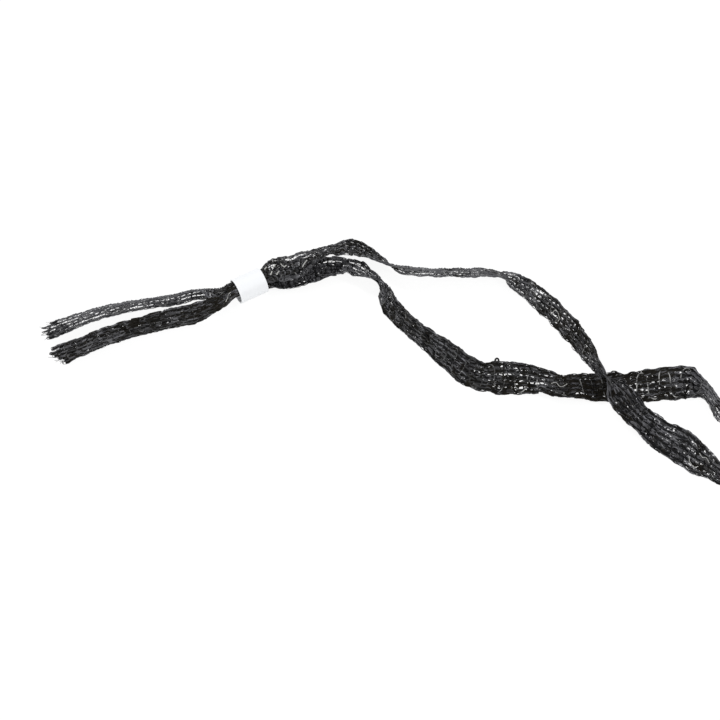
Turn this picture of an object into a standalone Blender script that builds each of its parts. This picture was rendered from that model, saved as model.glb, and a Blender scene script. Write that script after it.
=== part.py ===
"""Net tie: one length of flat knitted tape, doubled and drawn through a short sliding collar.

The two cut ends leave the collar on the left as a pair of tails. On the right the two runs open
into a loop, twist, cross once and meet in the loop's closed end. The tie lies on the plane z = 0.
The tape is lofted along one route of hand-chosen stations, and each named stretch of it is a
solid of its own. Lengths are in millimetres and angles in degrees until a mesh is made.
"""

import math

import bmesh
import bpy
import numpy as np

MM = 0.001

# Collar: a short piece of thin-walled tube, lying on the plane.
COLLAR_OUTER = 10.0
COLLAR_WALL = 0.5
COLLAR_LENGTH = 11.5
COLLAR_RIM_ROUND = 0.15
COLLAR_MIDDLE = (-64.5, 31.9)
COLLAR_TURN = 28.2
COLLAR_TRAVEL = 5.0
COLLAR_SIDES = 56

# Tape: flat and knitted, so it narrows where it is pulled or gathered.
TAPE_WIDTH = 12.8
TAPE_THICKNESS = 0.9

# Clearances between the solids.
BORE_CLEARANCE = 0.3
STRETCH_GAP = 0.3

# How finely the tape's surface is divided.
RING_SPACING = 2.8
RING_STRIPS = 6

# Stations of the route, left to right: x, y, lift off the plane, lean, fullness, curl.
# lean turns the tape about its run: 0 lies flat, 90 stands on edge with its left edge up.
# fullness is the width there as a share of TAPE_WIDTH. curl is the angle that the tape is
# bent through across its width, positive where its first face bulges.
UPPER_TAIL = [
    (-141.5, 11.6, 0.0, 80, 0.73, -20),
    (-134.2, 14.2, 0.0, 88, 0.83, -25),
    (-126.9, 17.9, 0.0, 92, 0.77, -30),
    (-116.4, 21.4, 0.0, 96, 0.81, -35),
    (-105.6, 23.9, 0.0, 100, 0.82, -45),
    (-93.8, 25.9, 0.0, 100, 0.86, -60),
    (-82.8, 28.5, 0.0, 92, 0.83, -100),
]
UPPER_NECK = [
    (-54.1, 38.2, 5.2, 184, 0.94, -95),
    (-48.5, 38.3, 4.8, 188, 0.98, -60),
    (-43.3, 41.2, 4.9, 181, 1.0, -40),
    (-37.5, 45.2, 2.5, 152, 0.96, -15),
]
UPPER_ARCH = [
    (-31.0, 49.3, 0.0, 149, 0.88, 0),
    (-25.4, 51.0, 0.0, 157, 0.8, 0),
    (-19.5, 47.0, 0.0, 144, 0.94, 0),
    (-10.9, 40.1, 1.4, 117, 0.9, 0),
]
UPPER_EDGE = [
    (-3.9, 38.6, 0.1, 105, 0.85, -20),
    (8.3, 37.8, 0.1, 107, 0.89, -30),
    (22.1, 37.6, 0.1, 105, 0.91, -20),
    (31.1, 36.8, 0.0, 111, 0.87, 0),
]
UPPER_SLOPE = [
    (36.5, 33.7, 0.0, 85, 0.82, 0),
    (43.3, 27.8, 0.0, 79, 0.98, 0),
    (53.7, 16.4, 0.0, 74, 0.98, 0),
    (61.8, 4.1, 0.7, 77, 0.97, 0),
    (67.8, -7.2, 2.2, 93, 0.8, 0),
]
UPPER_RETURN = [
    (75.1, -16.0, 3.2, 180, 0.85, 0),
    (81.5, -24.8, 1.7, 168, 0.91, 0),
    (89.2, -30.4, 0.0, 182, 0.98, 0),
    (96.8, -37.1, 0.0, 203, 1.0, 0),
    (100.2, -40.7, 0.0, 215, 0.9, 0),
    (104.1, -45.4, 0.0, 248, 1.0, 0),
]
LOOP_END_NEAR = [
    (109.5, -49.8, 0.0, 264, 0.98, 0),
    (118.7, -54.0, 0.0, 268, 0.98, 0),
    (128.2, -55.4, 0.0, 270, 0.98, 0),
    (136.7, -53.1, 0.0, 270, 0.98, 0),
    (140.9, -48.8, 0.0, 270, 0.98, 0),
    (141.7, -45.5, 0.0, 270, 0.98, 0),
]
LOWER_TAIL = [
    (-136.3, 1.0, 0.0, 70, 0.75, 20),
    (-128.9, 3.6, 0.0, 81, 0.84, 25),
    (-118.3, 8.7, 0.0, 80, 0.84, 30),
    (-106.1, 13.4, 0.0, 76, 0.75, 35),
    (-93.5, 16.9, 0.0, 73, 0.81, 50),
    (-83.0, 19.4, 0.0, 68, 0.81, 80),
]
LOWER_NECK = [
    (-52.5, 36.9, 1.2, 201, 0.9, 110),
    (-46.2, 38.3, 1.4, 186, 0.99, 90),
    (-38.8, 40.3, 1.6, 176, 0.99, 75),
]
LOWER_ARCH = [
    (-31.9, 42.9, 0.0, 167, 0.94, 60),
    (-26.4, 41.8, 0.0, 155, 1.0, 45),
    (-21.4, 38.6, 0.0, 143, 0.98, 25),
    (-15.3, 33.4, 0.5, 122, 0.85, 0),
]
LOWER_SLOPE = [
    (-13.6, 28.2, 0.0, 71, 0.87, 0),
    (-10.4, 21.6, 0.0, 75, 1.0, 0),
    (-1.1, 11.0, 0.0, 80, 0.98, 0),
    (9.4, 1.6, 0.0, 67, 0.99, 0),
    (18.6, -6.0, 0.0, 55, 0.97, 0),
    (23.9, -7.9, 0.0, 49, 0.87, 0),
]
LOWER_FLAT = [
    (29.8, -7.9, 0.0, 38, 0.96, 0),
    (37.7, -7.0, 0.0, 11, 0.99, 0),
    (45.1, -7.7, 0.0, -7, 0.92, 0),
    (53.5, -10.7, 0.0, -18, 0.95, 0),
    (64.5, -10.3, 0.0, -6, 0.99, 0),
    (71.4, -10.1, 0.0, 0, 0.99, 0),
    (76.5, -10.2, 0.0, 0, 0.99, 0),
    (83.4, -10.3, 0.0, 10, 0.98, 0),
]
LOWER_RETURN = [
    (93.1, -9.7, 0.0, 22, 0.99, 0),
    (99.3, -9.4, 0.0, 25, 0.98, 0),
    (102.6, -11.8, 0.0, 66, 0.9, 0),
    (106.7, -15.2, 0.0, 90, 0.91, 0),
    (110.6, -22.6, 0.0, 84, 0.94, 0),
]
LOOP_END_FAR = [
    (116.7, -27.7, 0.0, 89, 0.96, 0),
    (124.6, -30.1, 0.0, 90, 0.98, 0),
    (133.7, -31.0, 0.0, 90, 0.98, 0),
    (139.9, -34.6, 0.0, 90, 0.98, 0),
    (141.7, -38.5, 0.0, 90, 0.98, 0),
]

# Where the pair of tapes is gathered in the bore: distance from the collar's left rim as a
# share of its length, lean of the split between the two tapes, and the angle each wraps.
GATHER_STATIONS = [
    (-0.13, 101, 160),
    (0.12, 104, 158),
    (0.37, 114, 155),
    (0.63, 129, 152),
    (0.84, 144, 151),
    (1.02, 158, 151),
]
# The pair hangs this far off the bore's axis, where room for it is left: back and up.
GATHER_DRIFT = (0.15, 0.1)


def material(name, colour, roughness, metallic=0.0):
    """A Principled BSDF material of one colour."""
    made = bpy.data.materials.new(name)
    made.use_nodes = True
    shader = made.node_tree.nodes["Principled BSDF"]
    shader.inputs["Base Color"].default_value = (*colour, 1.0)
    shader.inputs["Roughness"].default_value = roughness
    shader.inputs["Metallic"].default_value = metallic
    return made


def add_object(name, mesh, surface, parent=None):
    """Put a mesh in the scene as one named object."""
    mesh.materials.append(surface)
    made = bpy.data.objects.new(name, mesh)
    bpy.context.scene.collection.objects.link(made)
    made.parent = parent
    return made


def eased(knots, values, at):
    """Smooth curve through values at the knots, which never overshoots them.

    Cubic pieces whose slope at a knot is the weighted harmonic mean of the slopes on both
    sides, and zero where those differ in sign or one is flat.
    """
    gap = np.diff(knots)[:, None]
    rise = np.diff(values, axis=0) / gap
    before, after = rise[:-1], rise[1:]
    same = before * after > 0
    weight_a = gap[:-1] + 2 * gap[1:]
    weight_b = 2 * gap[:-1] + gap[1:]
    shares = weight_a / np.where(same, before, 1) + weight_b / np.where(same, after, 1)
    slope = np.zeros_like(values)
    slope[1:-1] = np.where(same, (weight_a + weight_b) / np.where(same, shares, 1), 0)
    slope[0] = rise[0]
    slope[-1] = rise[-1]
    i = np.clip(np.searchsorted(knots, at, side="right") - 1, 0, len(knots) - 2)
    u = ((at - knots[i]) / gap[i, 0])[:, None]
    return (
        (2 * u**3 - 3 * u**2 + 1) * values[i]
        + (u**3 - 2 * u**2 + u) * gap[i] * slope[i]
        + (3 * u**2 - 2 * u**3) * values[i + 1]
        + (u**3 - u**2) * gap[i] * slope[i + 1]
    )


def section(width, curl, face):
    """Points across one face of the tape: sideways and outward from the middle of its curl.

    The middle of the tape is an arc as long as the width, which turns through the curl, and a
    face is half the thickness off it. A section with no curl gets one too small to see, because
    its radius has to be finite.
    """
    least = 0.01
    turn = np.radians(np.where(np.abs(curl) < least, least, curl))[:, None]
    radius = np.asarray(width)[:, None] / turn
    angle = np.linspace(-0.5, 0.5, RING_STRIPS + 1)[None, :] * turn
    centre = radius * np.sin(turn / 2) / (turn / 2)
    off = face * TAPE_THICKNESS / 2
    side = (radius + off) * np.sin(angle)
    out = (radius + off) * np.cos(angle) - centre
    return side, out


def resting_height(width, curl, lean):
    """Height of the tape's middle with its lowest edge on the plane."""
    tilt = np.radians(lean)[:, None]
    lowest = []
    for face in (-1, 1):
        side, out = section(width, curl, face)
        lowest.append((side * np.sin(tilt) + out * np.cos(tilt)).min(axis=1))
    return -np.minimum(*lowest)


def collar_frame():
    """Unit vectors along the collar and to its left, and the middle of its bore."""
    turn = math.radians(COLLAR_TURN)
    along = np.array([math.cos(turn), math.sin(turn), 0.0])
    left = np.array([-along[1], along[0], 0.0])
    middle = np.array([*COLLAR_MIDDLE, COLLAR_OUTER / 2])
    return along, left, middle


def gathered(side):
    """Stations of one tape in the bore: it lines one half, and the other tape the other.

    side is 1 for the lower tape and -1 for the upper one. The row is x, y, height, lean,
    width, curl. The first station leaves room for the collar's travel.
    """
    along, left, middle = collar_frame()
    up = np.array([0.0, 0.0, 1.0])
    drift = math.hypot(*GATHER_DRIFT)
    clear = COLLAR_OUTER / 2 - COLLAR_WALL - BORE_CLEARANCE - TAPE_THICKNESS / 2
    first = -COLLAR_TRAVEL - 1.0
    places = [first] + [share * COLLAR_LENGTH for share, _, _ in GATHER_STATIONS]
    turns = [GATHER_STATIONS[0][1:]] + [row[1:] for row in GATHER_STATIONS]
    rows = []
    for place, (lean, wrap) in zip(places, turns):
        slack = drift * min(1.0, max(0.0, 1.0 - place / COLLAR_LENGTH))
        radius = clear - slack
        tilt = math.radians(lean)
        arc = math.radians(wrap)
        out = -math.sin(tilt) * left + math.cos(tilt) * up
        off = radius * math.sin(arc / 2) / (arc / 2)
        point = middle + (place - COLLAR_LENGTH / 2) * along + side * off * out
        point += (GATHER_DRIFT[0] * left + GATHER_DRIFT[1] * up) * slack / drift
        rows.append((*point, lean, radius * arc, side * wrap))
    return rows


def placed(stations):
    """Hand-chosen stations as rows of x, y, height, lean, width, curl."""
    rows = np.array(stations, dtype=float)
    width = rows[:, 4] * TAPE_WIDTH
    height = rows[:, 2] + resting_height(width, rows[:, 5], rows[:, 3])
    return np.column_stack([rows[:, :2], height, rows[:, 3], width, rows[:, 5]])


def whole_route():
    """The named stretches of the tape in order, from one cut end to the other.

    The lower run is written left to right too, so it is turned round here: a row that is
    travelled the other way has the opposite lean, and a full turn keeps it continuous.
    """
    upper = [
        ("upper_tail", placed(UPPER_TAIL)),
        ("upper_gather", np.array(gathered(-1))),
        ("upper_neck", placed(UPPER_NECK)),
        ("upper_arch", placed(UPPER_ARCH)),
        ("upper_edge_run", placed(UPPER_EDGE)),
        ("upper_slope", placed(UPPER_SLOPE)),
        ("upper_return", placed(UPPER_RETURN)),
        ("loop_end", placed(LOOP_END_NEAR)),
    ]
    lower = [
        ("loop_end", placed(LOOP_END_FAR)),
        ("lower_return", placed(LOWER_RETURN)),
        ("lower_flat", placed(LOWER_FLAT)),
        ("lower_slope", placed(LOWER_SLOPE)),
        ("lower_arch", placed(LOWER_ARCH)),
        ("lower_neck", placed(LOWER_NECK)),
        ("lower_gather", np.array(gathered(1))),
        ("lower_tail", placed(LOWER_TAIL)),
    ]
    route = list(upper)
    for name, rows in lower:
        turned = rows[::-1].copy()
        turned[:, 3] = 360.0 - turned[:, 3]
        route.append((name, turned))
    return route


def tape_rings(knots, rows, at):
    """Corner points of the tape's outline at each distance along the route.

    The first and last outline are set back along the run by half the gap to the next stretch,
    so that the two end faces there are parallel. No point goes below the plane.
    """
    values = eased(knots, rows, at)
    lean, width, curl = values[:, 3], values[:, 4], values[:, 5]
    values[:, 2] = np.maximum(values[:, 2], resting_height(width, curl, lean))
    step = 0.25
    ahead = eased(knots, rows, np.minimum(at + step, knots[-1]))[:, :3]
    behind = eased(knots, rows, np.maximum(at - step, knots[0]))[:, :3]
    run = ahead - behind
    run /= np.linalg.norm(run, axis=1)[:, None]
    level = np.cross([0.0, 0.0, 1.0], run)
    level /= np.linalg.norm(level, axis=1)[:, None]
    raised = np.cross(run, level)
    tilt = np.radians(lean)[:, None]
    across = np.cos(tilt) * level + np.sin(tilt) * raised
    outward = np.cross(run, across)
    rings = []
    for face in (1, -1):
        side, out = section(width, curl, face)
        points = (
            values[:, None, :3]
            + side[..., None] * across[:, None, :]
            + out[..., None] * outward[:, None, :]
        )
        rings.append(points if face == 1 else points[:, ::-1])
    rings = np.concatenate(rings, axis=1)
    rings[0] += run[0] * STRETCH_GAP / 2
    rings[-1] -= run[-1] * STRETCH_GAP / 2
    rings[..., 2] = np.maximum(rings[..., 2], 0.0)
    return rings


def loft(name, rings, surface, parent):
    """A closed solid through rings of points, capped at both ends."""
    shape = bmesh.new()
    corners = [[shape.verts.new(point * MM) for point in ring] for ring in rings]
    count = len(corners[0])
    for ring, following in zip(corners, corners[1:]):
        for i in range(count):
            j = (i + 1) % count
            shape.faces.new((ring[i], following[i], following[j], ring[j]))
    half = count // 2
    for ring in (corners[0], corners[-1]):
        for i in range(half - 1):
            shape.faces.new((ring[i], ring[i + 1], ring[count - 2 - i], ring[count - 1 - i]))
    bmesh.ops.recalc_face_normals(shape, faces=shape.faces)
    mesh = bpy.data.meshes.new(name)
    shape.to_mesh(mesh)
    shape.free()
    mesh.shade_smooth()
    mesh.set_sharp_from_angle(angle=math.radians(40))
    return add_object(name, mesh, surface, parent)


def build_tape(surface):
    """Every named stretch of the tape, with a small gap from each to the next."""
    frame = bpy.data.objects.new("tape_route", None)
    bpy.context.scene.collection.objects.link(frame)
    route = whole_route()
    rows = np.concatenate([stretch for _, stretch in route])
    steps = np.linalg.norm(np.diff(rows[:, :2], axis=0), axis=1)
    knots = np.concatenate([[0.0], np.cumsum(steps)])
    starts = {}
    first = 0
    for name, stretch in route:
        starts.setdefault(name, knots[first])
        first += len(stretch)
    names = list(starts)
    cuts = [starts[name] for name in names] + [knots[-1]]
    for name, begin, end in zip(names, cuts, cuts[1:]):
        count = max(3, round((end - begin) / RING_SPACING) + 1)
        rings = tape_rings(knots, rows, np.linspace(begin, end, count))
        loft(name, rings, surface, frame)


def build_collar(surface):
    """The collar: a ring profile with rounded rims, spun about the bore's axis."""
    outer = COLLAR_OUTER / 2
    inner = outer - COLLAR_WALL
    half = COLLAR_LENGTH / 2
    corners = [(half, outer, 0), (-half, outer, 90), (-half, inner, 180), (half, inner, 270)]
    profile = []
    for x, radius, start in corners:
        toward_x = -1 if x > 0 else 1
        toward_axis = -1 if radius == outer else 1
        for turn in (start, start + 45, start + 90):
            angle = math.radians(turn)
            profile.append(
                (
                    x + COLLAR_RIM_ROUND * (toward_x + math.cos(angle)),
                    radius + COLLAR_RIM_ROUND * (toward_axis + math.sin(angle)),
                )
            )
    shape = bmesh.new()
    ring = [shape.verts.new((x * MM, 0.0, radius * MM)) for x, radius in profile]
    edges = [shape.edges.new((a, b)) for a, b in zip(ring, ring[1:] + ring[:1])]
    bmesh.ops.spin(
        shape,
        geom=ring + edges,
        cent=(0, 0, 0),
        axis=(1, 0, 0),
        angle=math.tau,
        steps=COLLAR_SIDES,
        use_merge=True,
    )
    bmesh.ops.remove_doubles(shape, verts=shape.verts, dist=0.001 * MM)
    bmesh.ops.recalc_face_normals(shape, faces=shape.faces)
    mesh = bpy.data.meshes.new("collar")
    shape.to_mesh(mesh)
    shape.free()
    mesh.shade_smooth()
    mesh.set_sharp_from_angle(angle=math.radians(40))
    made = add_object("collar", mesh, surface)
    made.location = (COLLAR_MIDDLE[0] * MM, COLLAR_MIDDLE[1] * MM, COLLAR_OUTER / 2 * MM)
    made.rotation_euler = (0.0, 0.0, math.radians(COLLAR_TURN))
    return made


def build():
    """Clear the scene and model the tie."""
    for old in list(bpy.data.objects):
        bpy.data.objects.remove(old, do_unlink=True)
    tape_surface = material("black_knit", (0.022, 0.022, 0.026), 0.42)
    collar_surface = material("white_plastic", (0.86, 0.88, 0.91), 0.35)
    build_tape(tape_surface)
    build_collar(collar_surface)


build()
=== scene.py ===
# %% [markdown]
# # A net tie: knitted tape through a tube collar
#
# The object is a tie for a net: one flat black knitted tape, doubled, with both runs drawn
# through a short white plastic collar. The cut ends fray on the left, and on the right the
# runs open into a loop. Its solid parts already exist as a frame, which also says where
# everything is. This script gives the tie its looks: it knits the tape yarn by yarn on the
# surface that the solids follow, and turns the collar.

import math

import bpy
import numpy as np
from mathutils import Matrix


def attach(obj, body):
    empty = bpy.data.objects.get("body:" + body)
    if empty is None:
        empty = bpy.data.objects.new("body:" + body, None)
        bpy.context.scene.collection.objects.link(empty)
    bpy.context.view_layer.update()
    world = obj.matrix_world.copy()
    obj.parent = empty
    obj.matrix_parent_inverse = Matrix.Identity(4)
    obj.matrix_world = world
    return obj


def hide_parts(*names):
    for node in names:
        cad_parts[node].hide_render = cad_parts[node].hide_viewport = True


MM = 0.001

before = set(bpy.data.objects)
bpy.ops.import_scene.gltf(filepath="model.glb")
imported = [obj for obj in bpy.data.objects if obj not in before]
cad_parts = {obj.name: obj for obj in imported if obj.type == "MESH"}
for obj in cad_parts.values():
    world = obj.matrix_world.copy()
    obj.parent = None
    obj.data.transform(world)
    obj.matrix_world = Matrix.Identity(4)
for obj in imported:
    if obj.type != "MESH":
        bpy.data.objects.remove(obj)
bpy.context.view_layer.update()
tape_nodes = [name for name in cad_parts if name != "collar"]

# %% [markdown]
# ## The camera
#
# The tie lies on a table and is seen from 60 degrees above it, from some way off, so that
# parallel runs stay nearly parallel. A long lens gives that flat view. The camera looks at a
# point left of the tie's middle, so the closed end of the loop stays outside the view.

# %% Camera
VIEW_ELEVATION = 60.0
VIEW_DISTANCE = 900.0
VIEW_WIDTH = 271.7
VIEW_TARGET = (-22.3, 2.0, 0.0)
SENSOR_WIDTH = 36.0
CLIP_START = 0.05


def added(name, data):
    """A new object that holds the data, put into the scene."""
    made = bpy.data.objects.new(name, data)
    bpy.context.scene.collection.objects.link(made)
    return made


camera_data = bpy.data.cameras.new("camera")
camera_data.sensor_width = SENSOR_WIDTH
camera_data.lens = SENSOR_WIDTH * VIEW_DISTANCE / VIEW_WIDTH
camera_data.clip_start = CLIP_START
camera = added("camera", camera_data)
rise = math.radians(VIEW_ELEVATION)
camera.location = (
    VIEW_TARGET[0] * MM,
    (VIEW_TARGET[1] - VIEW_DISTANCE * math.cos(rise)) * MM,
    (VIEW_TARGET[2] + VIEW_DISTANCE * math.sin(rise)) * MM,
)
camera.rotation_euler = (math.pi / 2 - rise, 0.0, 0.0)
bpy.context.scene.camera = camera
print("lens:", round(camera_data.lens, 1), "mm")

# %% [markdown]
# ## The route of the tape
#
# A limp tape could be dropped by a cloth simulation, but it would never land in the lay that is
# wanted. So its route is a short list of given stations, as an animator poses a ribbon: where the
# middle of the tape is, how it leans, how wide it is there and how much it is curled across. These
# are the stations that the solids of the frame were lofted through, in millimetres and degrees,
# from left to right. Lean 0 lies flat and 90 stands on edge. Fullness is the width as a share of
# the relaxed width.

# %% Stations of both runs
TAPE_WIDTH = 12.8
TAPE_THICKNESS = 0.9

UPPER_TAIL = [
    (-141.5, 11.6, 0.0, 80, 0.73, -20),
    (-134.2, 14.2, 0.0, 88, 0.83, -25),
    (-126.9, 17.9, 0.0, 92, 0.77, -30),
    (-116.4, 21.4, 0.0, 96, 0.81, -35),
    (-105.6, 23.9, 0.0, 100, 0.82, -45),
    (-93.8, 25.9, 0.0, 100, 0.86, -60),
    (-82.8, 28.5, 0.0, 92, 0.83, -100),
]
UPPER_RUN = [
    (-54.1, 38.2, 5.2, 184, 0.94, -95),
    (-48.5, 38.3, 4.8, 188, 0.98, -60),
    (-43.3, 41.2, 4.9, 181, 1.0, -40),
    (-37.5, 45.2, 2.5, 152, 0.96, -15),
    (-31.0, 49.3, 0.0, 149, 0.88, 0),
    (-25.4, 51.0, 0.0, 157, 0.8, 0),
    (-19.5, 47.0, 0.0, 144, 0.94, 0),
    (-10.9, 40.1, 1.4, 117, 0.9, 0),
    (-3.9, 38.6, 0.1, 105, 0.85, -20),
    (8.3, 37.8, 0.1, 107, 0.89, -30),
    (22.1, 37.6, 0.1, 105, 0.91, -20),
    (31.1, 36.8, 0.0, 111, 0.87, 0),
    (36.5, 33.7, 0.0, 85, 0.82, 0),
    (43.3, 27.8, 0.0, 79, 0.98, 0),
    (53.7, 16.4, 0.0, 74, 0.98, 0),
    (61.8, 4.1, 0.7, 77, 0.97, 0),
    (67.8, -7.2, 2.2, 93, 0.8, 0),
    (75.1, -16.0, 3.2, 180, 0.85, 0),
    (81.5, -24.8, 1.7, 168, 0.91, 0),
    (89.2, -30.4, 0.0, 182, 0.98, 0),
    (96.8, -37.1, 0.0, 203, 1.0, 0),
    (100.2, -40.7, 0.0, 215, 0.9, 0),
    (104.1, -45.4, 0.0, 248, 1.0, 0),
    (109.5, -49.8, 0.0, 264, 0.98, 0),
    (118.7, -54.0, 0.0, 268, 0.98, 0),
    (128.2, -55.4, 0.0, 270, 0.98, 0),
    (136.7, -53.1, 0.0, 270, 0.98, 0),
    (140.9, -48.8, 0.0, 270, 0.98, 0),
    (141.7, -45.5, 0.0, 270, 0.98, 0),
]
LOWER_TAIL = [
    (-136.3, 1.0, 0.0, 70, 0.75, 20),
    (-128.9, 3.6, 0.0, 81, 0.84, 25),
    (-118.3, 8.7, 0.0, 80, 0.84, 30),
    (-106.1, 13.4, 0.0, 76, 0.75, 35),
    (-93.5, 16.9, 0.0, 73, 0.81, 50),
    (-83.0, 19.4, 0.0, 68, 0.81, 80),
]
LOWER_RUN = [
    (-52.5, 36.9, 1.2, 201, 0.9, 110),
    (-46.2, 38.3, 1.4, 186, 0.99, 90),
    (-38.8, 40.3, 1.6, 176, 0.99, 75),
    (-31.9, 42.9, 0.0, 167, 0.94, 60),
    (-26.4, 41.8, 0.0, 155, 1.0, 45),
    (-21.4, 38.6, 0.0, 143, 0.98, 25),
    (-15.3, 33.4, 0.5, 122, 0.85, 0),
    (-13.6, 28.2, 0.0, 71, 0.87, 0),
    (-10.4, 21.6, 0.0, 75, 1.0, 0),
    (-1.1, 11.0, 0.0, 80, 0.98, 0),
    (9.4, 1.6, 0.0, 67, 0.99, 0),
    (18.6, -6.0, 0.0, 55, 0.97, 0),
    (23.9, -7.9, 0.0, 49, 0.87, 0),
    (29.8, -7.9, 0.0, 38, 0.96, 0),
    (37.7, -7.0, 0.0, 11, 0.99, 0),
    (45.1, -7.7, 0.0, -7, 0.92, 0),
    (53.5, -10.7, 0.0, -18, 0.95, 0),
    (64.5, -10.3, 0.0, -6, 0.99, 0),
    (71.4, -10.1, 0.0, 0, 0.99, 0),
    (76.5, -10.2, 0.0, 0, 0.99, 0),
    (83.4, -10.3, 0.0, 10, 0.98, 0),
    (93.1, -9.7, 0.0, 22, 0.99, 0),
    (99.3, -9.4, 0.0, 25, 0.98, 0),
    (102.6, -11.8, 0.0, 66, 0.9, 0),
    (106.7, -15.2, 0.0, 90, 0.91, 0),
    (110.6, -22.6, 0.0, 84, 0.94, 0),
    (116.7, -27.7, 0.0, 89, 0.96, 0),
    (124.6, -30.1, 0.0, 90, 0.98, 0),
    (133.7, -31.0, 0.0, 90, 0.98, 0),
    (139.9, -34.6, 0.0, 90, 0.98, 0),
    (141.7, -38.5, 0.0, 90, 0.98, 0),
]
print("stations:", sum(map(len, (UPPER_TAIL, UPPER_RUN, LOWER_TAIL, LOWER_RUN))))

# %% [markdown]
# ## The gathered stations
#
# Inside the collar each run lines one half of the bore. These stations follow from the tube:
# the tape's middle runs at the bore's radius less a clearance and half the thickness, and the
# split between the two runs turns as they pass.

# %% Stations in the collar
COLLAR_OUTER = 10.0
COLLAR_WALL = 0.5
COLLAR_LENGTH = 11.5
COLLAR_MIDDLE = (-64.5, 31.9)
COLLAR_TURN = 28.2
COLLAR_TRAVEL = 5.0
BORE_CLEARANCE = 0.3
# How far both runs lie to the left of the bore's axis and above it where they leave for the
# tails, and how far past the collar's travel they start to gather.
GATHER_DRIFT = (0.15, 0.1)
GATHER_LEAD = 1.0
# Share of the collar's length from that mouth, lean, and the angle that the tape wraps.
GATHER_STATIONS = [
    (-0.13, 101, 160),
    (0.12, 104, 158),
    (0.37, 114, 155),
    (0.63, 129, 152),
    (0.84, 144, 151),
    (1.02, 158, 151),
]


def collar_frame():
    """Unit vectors along the collar and to its left, and the middle of its bore."""
    turn = math.radians(COLLAR_TURN)
    along = np.array([math.cos(turn), math.sin(turn), 0.0])
    left = np.array([-along[1], along[0], 0.0])
    return along, left, np.array([*COLLAR_MIDDLE, COLLAR_OUTER / 2])


def gathered(side):
    """Stations of one run in the bore, as x, y, height, lean, width and curl.

    The middle of an arc of radius r that wraps an angle k has its centroid at r sin(k/2)/(k/2)
    from the bore's axis, on the side that the lean points to.
    """
    along, left, middle = collar_frame()
    up = np.array([0.0, 0.0, 1.0])
    drift = math.hypot(*GATHER_DRIFT)
    clear = COLLAR_OUTER / 2 - COLLAR_WALL - BORE_CLEARANCE - TAPE_THICKNESS / 2
    places = [-COLLAR_TRAVEL - GATHER_LEAD] + [row[0] * COLLAR_LENGTH for row in GATHER_STATIONS]
    turns = [GATHER_STATIONS[0][1:]] + [row[1:] for row in GATHER_STATIONS]
    rows = []
    for place, (lean, wrap) in zip(places, turns):
        slack = drift * min(1.0, max(0.0, 1.0 - place / COLLAR_LENGTH))
        radius = clear - slack
        tilt, arc = math.radians(lean), math.radians(wrap)
        out = -math.sin(tilt) * left + math.cos(tilt) * up
        point = middle + (place - COLLAR_LENGTH / 2) * along
        point += side * radius * math.sin(arc / 2) / (arc / 2) * out
        point += (GATHER_DRIFT[0] * left + GATHER_DRIFT[1] * up) * slack / drift
        rows.append((*point, lean, radius * arc, side * wrap))
    return np.array(rows)


print("gathered width:", round(gathered(1)[2, 4], 2), "mm")

# %% [markdown]
# ## Easing between stations
#
# The tape has to be smooth between the stations. An ordinary spline would overshoot them, so
# that the tape dipped under the table or swelled. So every value is eased by cubic pieces
# that stay between the two values that they join.


# %% Eased values
def eased(knots, values, at):
    """Smooth curve through values at the knots, which never overshoots them.

    Cubic pieces whose slope at a knot is the weighted harmonic mean of the slopes on both
    sides, and zero where those differ in sign or one is flat.
    """
    gap = np.diff(knots)[:, None]
    secant = np.diff(values, axis=0) / gap
    before, after = secant[:-1], secant[1:]
    same = before * after > 0
    weight_a = gap[:-1] + 2 * gap[1:]
    weight_b = 2 * gap[:-1] + gap[1:]
    shares = weight_a / np.where(same, before, 1) + weight_b / np.where(same, after, 1)
    slope = np.zeros_like(values)
    slope[1:-1] = np.where(same, (weight_a + weight_b) / np.where(same, shares, 1), 0)
    slope[0], slope[-1] = secant[0], secant[-1]
    i = np.clip(np.searchsorted(knots, at, side="right") - 1, 0, len(knots) - 2)
    u = ((at - knots[i]) / gap[i, 0])[:, None]
    return (
        (2 * u**3 - 3 * u**2 + 1) * values[i]
        + (u**3 - 2 * u**2 + u) * gap[i] * slope[i]
        + (3 * u**2 - 2 * u**3) * values[i + 1]
        + (u**3 - u**2) * gap[i] * slope[i + 1]
    )


# %% [markdown]
# ## The tape's cross-section
#
# Soft tape curls across as it is gathered, and its section is then an arc. No mesh of it is
# wanted, only the place of any point on it, so that yarn can be laid there. The arc also
# says how high the tape's middle lies when its lowest edge rests on the table.

# %% Cross-section
LEAST_TURN = 1e-4
SECTION_POINTS = 7


def bent(width, turn, share, height):
    """A point of the tape's cross-section, as distances sideways and outward.

    The section is an arc as long as the width that turns through an angle, so its radius is
    width / turn. share runs from -1 to 1 across it, and height is measured off it.
    """
    turn = np.where(np.abs(turn) < LEAST_TURN, LEAST_TURN, turn)
    radius = width / turn
    angle = share * turn / 2
    side = (radius + height) * np.sin(angle)
    out = (radius + height) * np.cos(angle) - radius * np.sin(turn / 2) / (turn / 2)
    return side, out, angle


def resting_height(width, turn, tilt):
    """Height of the section's middle when its lowest point touches the table."""
    share = np.linspace(-1, 1, SECTION_POINTS)[None, :]
    lowest = []
    for face in (-TAPE_THICKNESS / 2, TAPE_THICKNESS / 2):
        side, out, _ = bent(width[:, None], turn[:, None], share, face)
        points = side * np.sin(tilt)[:, None] + out * np.cos(tilt)[:, None]
        lowest.append(points.min(axis=1))
    return -np.minimum(*lowest)


# %% [markdown]
# ## One smooth ribbon through the stations
#
# The route runs from one cut end, round the loop, to the other. It is worked out once, as a
# fine table of the middle line, the direction across the tape and its normal, and everything
# knitted later looks its place up there.

# %% Ribbon
FINE_STEP = 0.1


def unit(vectors):
    """The same vectors, one unit long."""
    return vectors / np.linalg.norm(vectors, axis=-1, keepdims=True)


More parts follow.
